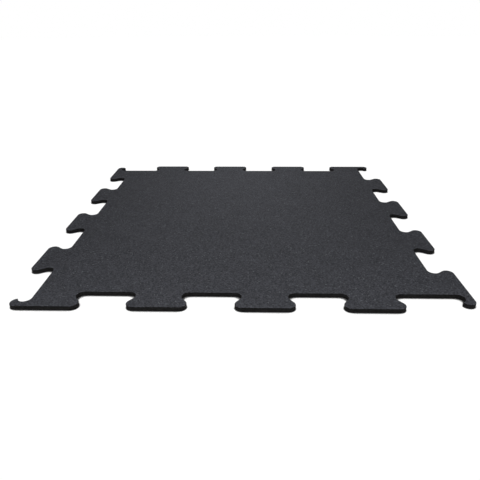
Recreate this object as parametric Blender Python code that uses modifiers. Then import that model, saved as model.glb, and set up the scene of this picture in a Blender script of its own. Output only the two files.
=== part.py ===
"""Interlocking rubber floor tile, lying flat.

One slab of bonded rubber crumb. Its four sides carry the same run of rounded tabs and notches,
turned by a quarter from side to side, so copies of the tile set one module apart lock together.
"""

import math

import bmesh
import bpy
from mathutils import Matrix, Vector

# Driving dimensions, in metres
OVERALL = 1.000        # tab tip to tab tip, the side of the square blank
MODULE = 0.943         # floor that one laid tile covers, each way
THICKNESS = 0.010
TAB_PITCH = 0.2287     # from one tab to the next
LOBE_RADIUS = 0.0146   # of the round shoulders of the tabs and notches
LOBE_SETBACK = 0.0076  # from a tab's mean flank to the centre of its shoulder
JOINT_GAP = 0.0005     # between two laid tiles, all along their joint
EDGE_BREAK = 0.0006    # rubbed-off corner of the cut edges

# Worked out from the dimensions above
TAB_REACH = (OVERALL - MODULE + JOINT_GAP) / 2  # of a tab beyond the module's line
LOBE_HEIGHT = TAB_REACH - LOBE_RADIUS           # of a shoulder's centre beyond that line
CORNER = MODULE / 2
SIDES = 4
TABS_PER_SIDE = 4

ARC_STEP = math.radians(18)
WELD_DISTANCE = 0.00001
FLAT_ANGLE = math.radians(1)
SHARP_ANGLE = math.radians(40)

TILE_NAME = "rubber_tile"
COLLECTION_NAME = "interlocking_floor_tile"
RUBBER_COLOUR = (0.048, 0.049, 0.054, 1.0)
RUBBER_ROUGHNESS = 0.88


def clear_scene():
    for old in list(bpy.data.objects):
        bpy.data.objects.remove(old, do_unlink=True)


def arc(centre, radius, start, end):
    """Points along an arc, both ends included. Angles in radians, either way round."""
    steps = math.ceil(abs(end - start) / ARC_STEP)
    points = []
    for step in range(steps + 1):
        angle = start + (end - start) * step / steps
        points.append(centre + Vector((math.cos(angle), math.sin(angle))) * radius)
    return points


def flank():
    """Right-hand flank of a tab, tip to notch floor, as (along, outward) from where it crosses
    the module's line: two equal arcs with a straight stretch between them."""
    centre = Vector((-LOBE_SETBACK, LOBE_HEIGHT))
    towards_crossing = math.atan2(-centre.y, -centre.x)
    tangent = towards_crossing + math.acos(LOBE_RADIUS / centre.length)
    shoulder = arc(centre, LOBE_RADIUS, math.pi / 2, tangent)
    hollow = [-point for point in reversed(shoulder)]
    return shoulder + hollow


def hook():
    """Round end of a corner tab, from the module's corner to the tab's tip line, as
    (along, outward) from that corner. Its circle passes through the corner."""
    inset = math.sqrt(LOBE_RADIUS ** 2 - LOBE_HEIGHT ** 2)
    centre = Vector((inset, LOBE_HEIGHT))
    start = math.atan2(-centre.y, -centre.x)
    return arc(centre, LOBE_RADIUS, start, -1.5 * math.pi)


def side():
    """Front side from corner to corner, as (along, outward) from the side's middle."""
    falling = flank()
    rising = [Vector((-point.x, point.y)) for point in reversed(falling)]
    start_corner = Vector((-CORNER, 0.0))
    end_corner = Vector((CORNER, 0.0))
    points = [start_corner + point for point in hook()]
    for tab in range(TABS_PER_SIDE):
        tab_end = Vector(((tab - 1.5) * TAB_PITCH, 0.0))
        tab_start = tab_end - Vector((TAB_PITCH / 2, 0.0))
        if tab > 0:
            points += [tab_start + point for point in rising]
        points += [tab_end + point for point in falling]
    points += [end_corner - point for point in reversed(hook())]
    return points


def tile_outline():
    """Closed outline of the module's joint line, counter-clockwise seen from above. Each side
    leaves out its last point, which is the next side's first."""
    front = [Vector((point.x, -CORNER - point.y)) for point in side()[:-1]]
    outline = []
    for quarter in range(SIDES):
        turn = Matrix.Rotation(quarter * math.tau / SIDES, 2)
        outline += [turn @ point for point in front]
    return outline


def inset(outline, distance):
    """The outline moved inwards by the same distance all round."""
    moved = []
    for index, point in enumerate(outline):
        before = (point - outline[index - 1]).normalized()
        after = (outline[(index + 1) % len(outline)] - point).normalized()
        inward_before = Vector((-before.y, before.x))
        inward_after = Vector((-after.y, after.x))
        mitre = (inward_before + inward_after) / (1.0 + inward_before.dot(inward_after))
        moved.append(point + mitre * distance)
    return moved


def slab(name, outline, thickness, collection):
    """A flat slab with the given outline, standing on the floor, as a mesh object."""
    curve = bpy.data.curves.new(name + "_outline", "CURVE")
    curve.dimensions = "2D"
    curve.fill_mode = "BOTH"
    curve.extrude = thickness / 2
    spline = curve.splines.new("POLY")
    spline.points.add(len(outline) - 1)
    for spline_point, point in zip(spline.points, outline):
        spline_point.co = (point.x, point.y, 0.0, 1.0)
    spline.use_cyclic_u = True

    blank = bpy.data.objects.new(name + "_outline", curve)
    blank.location = (0.0, 0.0, thickness / 2)
    collection.objects.link(blank)
    bpy.context.view_layer.update()
    evaluated = blank.evaluated_get(bpy.context.evaluated_depsgraph_get())
    mesh = bpy.data.meshes.new_from_object(evaluated)
    mesh.name = name

    shell = bmesh.new()
    shell.from_mesh(mesh)
    bmesh.ops.remove_doubles(shell, verts=shell.verts, dist=WELD_DISTANCE)
    bmesh.ops.dissolve_limit(shell, angle_limit=FLAT_ANGLE, verts=shell.verts, edges=shell.edges)
    bmesh.ops.recalc_face_normals(shell, faces=shell.faces)
    shell.to_mesh(mesh)
    shell.free()

    piece = bpy.data.objects.new(name, mesh)
    piece.matrix_world = blank.matrix_world
    collection.objects.link(piece)
    bpy.data.objects.remove(blank, do_unlink=True)
    return piece


def break_edges(piece):
    """Takes the sharpness off the rims and the four corner tips."""
    bevel = piece.modifiers.new("edge_break", "BEVEL")
    bevel.width = EDGE_BREAK
    bevel.segments = 1
    bevel.limit_method = "ANGLE"
    bevel.angle_limit = SHARP_ANGLE


def crumb_rubber():
    material = bpy.data.materials.new("crumb_rubber")
    material.use_nodes = True
    shader = material.node_tree.nodes["Principled BSDF"]
    shader.inputs["Base Color"].default_value = RUBBER_COLOUR
    shader.inputs["Roughness"].default_value = RUBBER_ROUGHNESS
    shader.inputs["Metallic"].default_value = 0.0
    return material


def build_tile():
    collection = bpy.data.collections.new(COLLECTION_NAME)
    bpy.context.scene.collection.children.link(collection)
    outline = inset(tile_outline(), JOINT_GAP / 2)
    tile = slab(TILE_NAME, outline, THICKNESS, collection)
    tile.data.materials.append(crumb_rubber())
    tile.data.shade_smooth()
    tile.data.set_sharp_from_angle(angle=SHARP_ANGLE)
    break_edges(tile)


clear_scene()
build_tile()
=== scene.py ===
"""Looks of the interlocking rubber floor tile: the slab of pressed crumb with its cut edges,
a pale floor, soft studio light and the camera."""

import math

import bmesh
import bpy
from mathutils import Matrix, Vector


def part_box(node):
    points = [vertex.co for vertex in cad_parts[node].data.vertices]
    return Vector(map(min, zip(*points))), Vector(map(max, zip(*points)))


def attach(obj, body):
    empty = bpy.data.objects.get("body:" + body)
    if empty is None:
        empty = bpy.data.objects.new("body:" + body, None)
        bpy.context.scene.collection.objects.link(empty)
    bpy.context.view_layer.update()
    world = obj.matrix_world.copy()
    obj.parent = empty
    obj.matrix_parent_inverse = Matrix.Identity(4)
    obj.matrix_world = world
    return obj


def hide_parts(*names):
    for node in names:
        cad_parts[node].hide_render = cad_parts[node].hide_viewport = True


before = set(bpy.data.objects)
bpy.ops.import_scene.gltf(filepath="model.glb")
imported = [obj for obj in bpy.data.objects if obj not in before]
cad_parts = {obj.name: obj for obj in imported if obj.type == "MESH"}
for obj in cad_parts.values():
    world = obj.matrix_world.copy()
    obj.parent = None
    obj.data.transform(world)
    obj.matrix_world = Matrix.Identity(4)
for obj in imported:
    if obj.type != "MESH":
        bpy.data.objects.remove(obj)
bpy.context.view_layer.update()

# Tile sizes, in metres. The overall width and the thickness are the frame's
LOWEST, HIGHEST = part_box("rubber_tile")
OVERALL = HIGHEST.x - LOWEST.x
THICKNESS = HIGHEST.z - LOWEST.z
MODULE = 0.943         # floor that one laid tile covers, each way
TAB_PITCH = 0.2287     # from one tab to the next
SIDES = 4
TABS_PER_SIDE = 4
LOBE_RADIUS = 0.0146   # of the round shoulders of the tabs and notches
LOBE_SETBACK = 0.0076  # from a tab's mean flank to the centre of its shoulder
JOINT_GAP = 0.0005     # between two laid tiles, all along their joint
RIM_ROUNDING = 0.0005

CORNER = MODULE / 2
LOBE_HEIGHT = (OVERALL - MODULE + JOINT_GAP) / 2 - LOBE_RADIUS
HOOK_INSET = math.sqrt(LOBE_RADIUS ** 2 - LOBE_HEIGHT ** 2)
LOBE_DISTANCE = math.hypot(LOBE_SETBACK, LOBE_HEIGHT)

# Turns and straight runs of the outline
HOOK_TURN = math.pi / 2 + math.atan2(LOBE_HEIGHT, HOOK_INSET)
LOBE_TURN = math.pi / 2 + math.atan2(LOBE_HEIGHT, LOBE_SETBACK) - math.acos(LOBE_RADIUS / LOBE_DISTANCE)
NECK_RUN = 2 * math.sqrt(LOBE_DISTANCE ** 2 - LOBE_RADIUS ** 2)
INNER_RUN = TAB_PITCH / 2 - 2 * LOBE_SETBACK
CORNER_RUN = CORNER - 1.5 * TAB_PITCH - LOBE_SETBACK - HOOK_INSET

# Fineness of the mesh, in metres
OUTLINE_STEP = 0.0019      # from vertex to vertex along the outline
WALL_ROWS = 4
RIM_SEGMENTS = 3
RIM_BAND = 0.001           # of the walking face, between its grid and the rim
TOP_STEP = 0.004           # of the walking face's grid
CLOSING_DISTANCE = 0.0001  # between the outline's two ends, which become one vertex
SLIVER = 0.0003            # vertices of the grid that are nearer to each other become one
SMOOTH_ANGLE = math.radians(40)

# How level a face is, from 0 for an upright one to 1 for one that lies flat
WALL_LEVEL = 0.1
CUT_LEVEL = 0.8
FLAT_LEVEL = 0.9
TOP_LEVEL = 0.999

# Unevenness of the crumb, in metres, and the share of it that is square to the surface
WALL_UNEVENNESS = 0.00025
WALL_PUSH = 0.7
WALL_SEED = 3
TOP_UNEVENNESS = 0.00006
TOP_PUSH = 1.0
TOP_SEED = 5

# Grain of the crumb: how many per metre, and how deep in metres
CRUMBS_PER_METRE = 450.0
CLUMPS_PER_METRE = 190.0
PRESS_MARKS_PER_METRE = 14.0
PRESS_MARK_DETAIL = 3.0
DUST_PER_METRE = 2600.0
FLECK_SHARE = 0.012
CRUMB_DEPTH = 0.0006

# Darkest and lightest tone, as shares of the mean grey
CRUMB_TONES = (0.5, 1.5)
CLUMP_TONES = (0.93, 1.07)
PRESS_MARK_TONES = (0.95, 1.05)
PRESSED_JOINT_TONES = (0.55, 1.0)
# The cut sides' pits are darker partly from the crumb's dark joints, partly as painted shade in the
# pores
CUT_PIT_TONES_WITH_PAINTED_SHADE = (0.3, 1.0)

# Ranges of the patterns: a noise's usual values, and distances from a joint in crumb widths
UNIT = (0.0, 1.0)
NOISE_SPREAD = (0.3, 0.7)
DUST_SPREAD = (0.2, 0.8)
PRESSED_JOINT = (0.0, 0.12)
PRESSED_SLOPE = (0.0, 0.3)
CUT_PIT = (0.0, 0.2)
CUT_SLOPE = (0.0, 0.4)

# Surfaces: roughness, gloss and strength of the bump
CUT_SLOT = 1  # the cut sides take the slab's second material
PRESSED_ROUGHNESS = (0.76, 1.0)
CUT_ROUGHNESS = 0.95
RUBBER_GLOSS = 0.08
PRESSED_BUMP = 0.45
CUT_BUMP = 0.6
FLOOR_ROUGHNESS = 0.9
FLOOR_GLOSS = 0.1

# Colours, linear
PRESSED_GREY = (0.032, 0.0332, 0.0389, 1.0)
# Cut sides: partly the cut crumb's own darker grey, partly painted shade on the upright sides
CUT_GREY_WITH_PAINTED_SHADE = (0.0078, 0.0076, 0.0077, 1.0)
FLECK_GREY = (0.075, 0.078, 0.085, 1.0)
FLOOR_PAINT = (0.05, 0.05, 0.05, 1.0)
STUDIO_WHITE = (1.0, 1.0, 1.0, 1.0)

# Camera, in metres, degrees and millimetres
CAMERA_PLACE = (0.0264, -1.3007, 0.5515)
CAMERA_TURN = (64.265, 0.297, 1.331)
LENS = 34.789
SENSOR = 36.0

# Floor, in metres. It glows white, but for a thin shade where the tile stands on it
FLOOR_RADIUS = 14.0
FLOOR_CORNERS = 96
FLOOR_DROP = 0.0002
FLOOR_GLOW = 0.98
CONTACT_GLOW = 0.02
CONTACT_REACH = 0.016
CONTACT_OPENNESS = (0.58, 0.67)  # share of open view at which the shade is full, and gone

# Sky: the white horizon starts to fade 35 degrees up, and is the dark ceiling from 50 degrees
CEILING_HEIGHTS = (math.sin(math.radians(35)), math.sin(math.radians(50)))
HORIZON_LIGHT = 1.0
CEILING_LIGHT = 0.0


def deselect_all():
    active = bpy.context.object
    if active is not None and active.mode != "OBJECT":
        bpy.ops.object.mode_set(mode="OBJECT")
    bpy.ops.object.select_all(action="DESELECT")


def pick(slab, kind, wanted):
    """In edit mode, selects only the vertices, edges or faces for which wanted() is true."""
    bpy.ops.mesh.select_mode(type=kind)
    bpy.ops.mesh.select_all(action="DESELECT")
    shape = bmesh.from_edit_mesh(slab.data)
    parts = {"VERT": shape.verts, "EDGE": shape.edges, "FACE": shape.faces}[kind]
    for part in parts:
        if wanted(part):
            part.select_set(True)
    shape.select_flush_mode()
    bmesh.update_edit_mesh(slab.data)


def is_rim(edge):
    """True for an edge between a flat face of the slab and its wall."""
    if len(edge.link_faces) != 2:
        return False
    levels = sorted(abs(face.normal.z) for face in edge.link_faces)
    return levels[0] < WALL_LEVEL and levels[1] > FLAT_LEVEL


def is_upright(edge):
    low, high = sorted(corner.co.z for corner in edge.verts)
    return high - low > THICKNESS / 2


def is_top(face):
    return face.normal.z > TOP_LEVEL and face.calc_center_median().z > THICKNESS / 2


def is_cut(face):
    return abs(face.normal.z) < CUT_LEVEL


class Blade:
    """Cuts the outline as a plotter would: straight on, or round an arc, dropping vertices on
    its way. The heading is in radians, and a positive turn is to the left, towards the slab."""

    def __init__(self, place):
        self.place = Vector(place)
        self.heading = 0.0

    def run(self, distance):
        steps = max(1, round(distance / OUTLINE_STEP))
        along = Vector((math.cos(self.heading), math.sin(self.heading), 0.0))
        step = along * (distance / steps)
        for _ in range(steps):
            bpy.ops.mesh.extrude_region_move(TRANSFORM_OT_translate={"value": step})
        self.place += step * steps

    def turn(self, angle):
        left = Vector((-math.sin(self.heading), math.cos(self.heading), 0.0))
        centre = self.place + left * math.copysign(LOBE_RADIUS, angle)
        steps = round(LOBE_RADIUS * abs(angle) / OUTLINE_STEP)
        # With no window, spin takes a left turn as a negative angle
        bpy.ops.mesh.spin(steps=steps, angle=-angle, center=centre, axis=(0.0, 0.0, 1.0))
        self.place = centre + Matrix.Rotation(angle, 3, "Z") @ (self.place - centre)
        self.heading += angle


def start_slab(name, place):
    """A new object in edit mode that is one selected vertex at place."""
    deselect_all()
    bpy.ops.mesh.primitive_plane_add(size=OUTLINE_STEP, location=(0.0, 0.0, 0.0))
    slab = bpy.context.object
    slab.name = name
    slab.data.name = name
    bpy.ops.object.mode_set(mode="EDIT")
    bpy.ops.mesh.select_mode(type="VERT")
    bpy.ops.mesh.select_all(action="SELECT")
    bpy.ops.mesh.merge(type="CENTER")
    bpy.ops.transform.translate(value=place)
    return slab


def cut_flank(blade, first_turn):
    """A tab's flank: two equal arcs, one each way, with a short straight neck between them."""
    blade.turn(first_turn)
    blade.run(NECK_RUN)
    blade.turn(-first_turn)


def cut_side(blade):
    """One side, from the tip of its hook to the next corner."""
    blade.turn(HOOK_TURN)
    for tab in range(TABS_PER_SIDE):
        blade.run(CORNER_RUN if tab == 0 else INNER_RUN)
        cut_flank(blade, LOBE_TURN)
        if tab < TABS_PER_SIDE - 1:
            blade.run(INNER_RUN)
            cut_flank(blade, -LOBE_TURN)
    blade.run(CORNER_RUN)
    blade.turn(-HOOK_TURN)


def cut_outline(name):
    """The tile's outline as one flat face, half a joint gap inside the line that two laid
    tiles share."""
    start = (-CORNER, -CORNER, 0.0)
    slab = start_slab(name, start)
    blade = Blade(start)
    for quarter in range(SIDES):
        blade.heading = quarter * math.pi / 2 - HOOK_TURN
        cut_side(blade)
    bpy.ops.mesh.select_all(action="SELECT")
    bpy.ops.mesh.remove_doubles(threshold=CLOSING_DISTANCE)
    bpy.ops.mesh.edge_face_add()
    bpy.ops.mesh.select_mode(type="FACE")
    bpy.ops.mesh.select_all(action="SELECT")
    bpy.ops.mesh.inset(thickness=JOINT_GAP / 2)
    bpy.ops.mesh.select_all(action="INVERT")
    bpy.ops.mesh.delete(type="FACE")
    return slab


def raise_slab(slab):
    """Gives the flat outline its thickness, rounded rims and rows along the wall."""
    bpy.ops.mesh.select_all(action="SELECT")
    bpy.ops.mesh.extrude_region_move(TRANSFORM_OT_translate={"value": (0.0, 0.0, THICKNESS)})
    bpy.ops.mesh.select_all(action="SELECT")
    bpy.ops.mesh.normals_make_consistent(inside=False)
    pick(slab, "EDGE", is_rim)
    bpy.ops.mesh.bevel(offset=RIM_ROUNDING, segments=RIM_SEGMENTS, affect="EDGES")
    pick(slab, "EDGE", is_upright)
    bpy.ops.mesh.subdivide(number_cuts=WALL_ROWS - 1)


def grid_top(slab):
    """Cuts the walking face into a fine grid, inside a narrow band along the rim."""
    pick(slab, "FACE", is_top)
    bpy.ops.mesh.inset(thickness=RIM_BAND)
    bpy.ops.mesh.hide(unselected=True)
    cuts = math.floor(OVERALL / TOP_STEP)
    for normal in (Vector((1.0, 0.0, 0.0)), Vector((0.0, 1.0, 0.0))):
        for cut in range(cuts):
            offset = (cut + 0.5) * TOP_STEP - OVERALL / 2
            bpy.ops.mesh.select_all(action="SELECT")
            bpy.ops.mesh.bisect(plane_co=normal * offset, plane_no=normal)
    bpy.ops.mesh.select_all(action="SELECT")
    bpy.ops.mesh.remove_doubles(threshold=SLIVER)
    bpy.ops.mesh.reveal(select=False)


def roughen(slab):
    """Shakes the vertices a little: the cut wall more, the pressed top less, the underside not."""
    pick(slab, "VERT", lambda corner: SLIVER < corner.co.z < THICKNESS - SLIVER)
    bpy.ops.transform.vertex_random(offset=WALL_UNEVENNESS, normal=WALL_PUSH, seed=WALL_SEED)
    pick(slab, "VERT", lambda corner: corner.co.z >= THICKNESS - SLIVER)
    bpy.ops.transform.vertex_random(offset=TOP_UNEVENNESS, normal=TOP_PUSH, seed=TOP_SEED)


class Finish:
    """A material, and short ways to add and join its nodes."""

    def __init__(self, name):
        self.material = bpy.data.materials.new(name)
        self.material.use_nodes = True
        self.nodes = self.material.node_tree.nodes
        self.links = self.material.node_tree.links
        self.shader = self.nodes["Principled BSDF"]
        self.place = self.nodes.new("ShaderNodeTexCoord").outputs["Object"]

    def join(self, source, socket):
        self.links.new(source, socket)

    def noise(self, per_metre, detail=2.0):
        node = self.nodes.new("ShaderNodeTexNoise")
        node.inputs["Scale"].default_value = per_metre
        node.inputs["Detail"].default_value = detail
        self.join(self.place, node.inputs["Vector"])
        return node.outputs["Fac"]

    def cells(self, per_metre, feature="F1"):
        node = self.nodes.new("ShaderNodeTexVoronoi")
        node.feature = feature
        node.inputs["Scale"].default_value = per_metre
        self.join(self.place, node.inputs["Vector"])
        return node.outputs

    def ramp(self, source, source_range, result_range):
        """The source's range carried over to the result's, and held at its ends."""
        node = self.nodes.new("ShaderNodeMapRange")
        node.inputs["From Min"].default_value, node.inputs["From Max"].default_value = source_range
        node.inputs["To Min"].default_value, node.inputs["To Max"].default_value = result_range
        self.join(source, node.inputs["Value"])
        return node.outputs["Result"]

    def combine(self, kind, first, second):
        node = self.nodes.new("ShaderNodeMath")
        node.operation = kind
        self.join(first, node.inputs[0])
        if isinstance(second, float):
            node.inputs[1].default_value = second
        else:
            self.join(second, node.inputs[1])
        return node.outputs[0]

    def tone(self, colour, strength):
        """The colour made lighter or darker by the strength, which varies over the surface."""
        node = self.nodes.new("ShaderNodeVectorMath")
        node.operation = "SCALE"
        node.inputs[0].default_value = colour[:3]
        self.join(strength, node.inputs["Scale"])
        return node.outputs["Vector"]

    def mix(self, share, first, second):
        node = self.nodes.new("ShaderNodeMix")
        node.data_type = "RGBA"
        self.join(share, node.inputs["Factor"])
        self.join(first, node.inputs["A"])
        node.inputs["B"].default_value = second
        return node.outputs["Result"]

    def crumbs(self):
        """Each crumb's own shade and chance, from 0 to 1, and the distance from the joints."""
        split = self.nodes.new("ShaderNodeSeparateColor")
        self.join(self.cells(CRUMBS_PER_METRE)["Color"], split.inputs["Color"])
        joints = self.cells(CRUMBS_PER_METRE, "DISTANCE_TO_EDGE")["Distance"]
        return split.outputs["Red"], split.outputs["Green"], joints

    def bump(self, height, strength):
        node = self.nodes.new("ShaderNodeBump")
        node.inputs["Strength"].default_value = strength
        node.inputs["Distance"].default_value = CRUMB_DEPTH
        self.join(height, node.inputs["Height"])
        self.join(node.outputs["Normal"], self.shader.inputs["Normal"])


def pressed_crumb():
    """The faces that the press made flat: crumbs squeezed level, each of its own grey, with
    fine joints between them, a few light flecks and faint patches."""
    finish = Finish("pressed_crumb")
    shade, chance, joints = finish.crumbs()
    press_marks = finish.noise(PRESS_MARKS_PER_METRE, PRESS_MARK_DETAIL)
    clump_tone = finish.ramp(finish.noise(CLUMPS_PER_METRE), NOISE_SPREAD, CLUMP_TONES)
    tone = finish.ramp(shade, UNIT, CRUMB_TONES)
    tone = finish.combine("MULTIPLY", tone, clump_tone)
    tone = finish.combine("MULTIPLY", tone, finish.ramp(press_marks, NOISE_SPREAD, PRESS_MARK_TONES))
    tone = finish.combine("MULTIPLY", tone, finish.ramp(joints, PRESSED_JOINT, PRESSED_JOINT_TONES))
    grey = finish.tone(PRESSED_GREY, tone)
    flecks = finish.combine("LESS_THAN", chance, FLECK_SHARE)
    finish.join(finish.mix(flecks, grey, FLECK_GREY), finish.shader.inputs["Base Color"])
    roughness = finish.ramp(finish.noise(DUST_PER_METRE), DUST_SPREAD, PRESSED_ROUGHNESS)
    finish.join(roughness, finish.shader.inputs["Roughness"])
    finish.shader.inputs["Specular IOR Level"].default_value = RUBBER_GLOSS
    relief = finish.combine("MULTIPLY", finish.ramp(joints, PRESSED_SLOPE, UNIT), clump_tone)
    finish.bump(relief, PRESSED_BUMP)
    return finish.material


def cut_crumb_with_painted_shade():
    """The sides, where the blade went through the crumbs: rougher and pitted, and darker, partly the
    cut crumb's own grey and partly painted shade on the upright sides and in the pits.
    """
    finish = Finish("cut_crumb_with_painted_shade")
    shade, _, joints = finish.crumbs()
    tone = finish.ramp(shade, UNIT, CRUMB_TONES)
    tone = finish.combine("MULTIPLY", tone, finish.ramp(joints, CUT_PIT, CUT_PIT_TONES_WITH_PAINTED_SHADE))
    finish.join(finish.tone(CUT_GREY_WITH_PAINTED_SHADE, tone), finish.shader.inputs["Base Color"])
    finish.shader.inputs["Roughness"].default_value = CUT_ROUGHNESS
    finish.shader.inputs["Specular IOR Level"].default_value = RUBBER_GLOSS
    relief = finish.combine("ADD", finish.ramp(joints, CUT_SLOPE, UNIT), finish.noise(DUST_PER_METRE))
    finish.bump(relief, CUT_BUMP)
    return finish.material


def dress(slab):
    """Gives the pressed faces and the cut sides their own finishes; the cut sides' grey is partly
    painted shade.
    """
    slab.data.materials.append(pressed_crumb())
    slab.data.materials.append(cut_crumb_with_painted_shade())
    bpy.ops.object.mode_set(mode="EDIT")
    pick(slab, "FACE", is_cut)
    slab.active_material_index = CUT_SLOT
    bpy.ops.object.material_slot_assign()
    bpy.ops.object.mode_set(mode="OBJECT")


def crumb_slab():
    slab = cut_outline("crumb_slab")
    raise_slab(slab)
    grid_top(slab)
    roughen(slab)
    bpy.ops.object.mode_set(mode="OBJECT")
    bpy.ops.object.shade_smooth_by_angle(angle=SMOOTH_ANGLE)
    dress(slab)
    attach(slab, "root")
    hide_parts("rubber_tile")


def floor_paint():
    """Glows white, and darkens where the tile's foot closes off the view of the room."""
    finish = Finish("floor_paint")
    finish.shader.inputs["Base Color"].default_value = FLOOR_PAINT
    finish.shader.inputs["Roughness"].default_value = FLOOR_ROUGHNESS
    finish.shader.inputs["Specular IOR Level"].default_value = FLOOR_GLOSS
    finish.shader.inputs["Emission Color"].default_value = STUDIO_WHITE
    openness = finish.nodes.new("ShaderNodeAmbientOcclusion")
    openness.inputs["Distance"].default_value = CONTACT_REACH
    glow = finish.ramp(openness.outputs["AO"], CONTACT_OPENNESS, (CONTACT_GLOW, FLOOR_GLOW))
    finish.join(glow, finish.shader.inputs["Emission Strength"])
    return finish.material


def pale_floor():
    deselect_all()
    bpy.ops.mesh.primitive_circle_add(
        vertices=FLOOR_CORNERS, radius=FLOOR_RADIUS, fill_type="NGON", location=(0.0, 0.0, -FLOOR_DROP)
    )
    floor = bpy.context.object
    floor.name = "studio_floor"
    floor.data.materials.append(floor_paint())


def horizon():
    """White all round, fading upwards into a dark ceiling."""
    world = bpy.data.worlds.new("studio")
    world.use_nodes = True
    nodes, links = world.node_tree.nodes, world.node_tree.links
    direction = nodes.new("ShaderNodeTexCoord").outputs["Generated"]
    split = nodes.new("ShaderNodeSeparateXYZ")
    links.new(direction, split.inputs["Vector"])
    dimming = nodes.new("ShaderNodeMapRange")
    dimming.interpolation_type = "SMOOTHSTEP"
    dimming.inputs["From Min"].default_value, dimming.inputs["From Max"].default_value = CEILING_HEIGHTS
    dimming.inputs["To Min"].default_value = HORIZON_LIGHT
    dimming.inputs["To Max"].default_value = CEILING_LIGHT
    links.new(split.outputs["Z"], dimming.inputs["Value"])
    background = nodes["Background"]
    background.inputs["Color"].default_value = STUDIO_WHITE
    links.new(dimming.outputs["Result"], background.inputs["Strength"])
    bpy.context.scene.world = world


def soft_box(name, place, width, height, power):
    """An area light that points at the tile's middle, in metres and watts."""
    light = bpy.data.lights.new(name, "AREA")
    light.shape = "RECTANGLE"
    light.size = width
    light.size_y = height
    light.energy = power
    lamp = bpy.data.objects.new(name, light)
    lamp.location = place
    lamp.rotation_euler = (-Vector(place)).to_track_quat("-Z", "Y").to_euler()
    lamp.visible_camera = False
    bpy.context.scene.collection.objects.link(lamp)


def studio():
    """The horizon, a soft box over the back half, and a low strip along the front and the back."""
    horizon()
    soft_box("overhead", place=(0.0, 0.3, 0.7), width=0.25, height=1.0, power=5.2)
    soft_box("front_strip", place=(0.0, -0.75, 0.35), width=2.0, height=0.1, power=6.3)
    soft_box("back_strip", place=(0.0, 0.85, 0.25), width=1.6, height=0.1, power=0.85)


def camera():
    view = bpy.data.cameras.new("camera")
    view.lens = LENS
    view.sensor_width = SENSOR
    body = bpy.data.objects.new("camera", view)
    body.location = CAMERA_PLACE
    body.rotation_euler = [math.radians(angle) for angle in CAMERA_TURN]
    bpy.context.scene.collection.objects.link(body)
    bpy.context.scene.camera = body


bpy.context.scene.view_settings.view_transform = "Standard"
crumb_slab()
pale_floor()
studio()
camera()
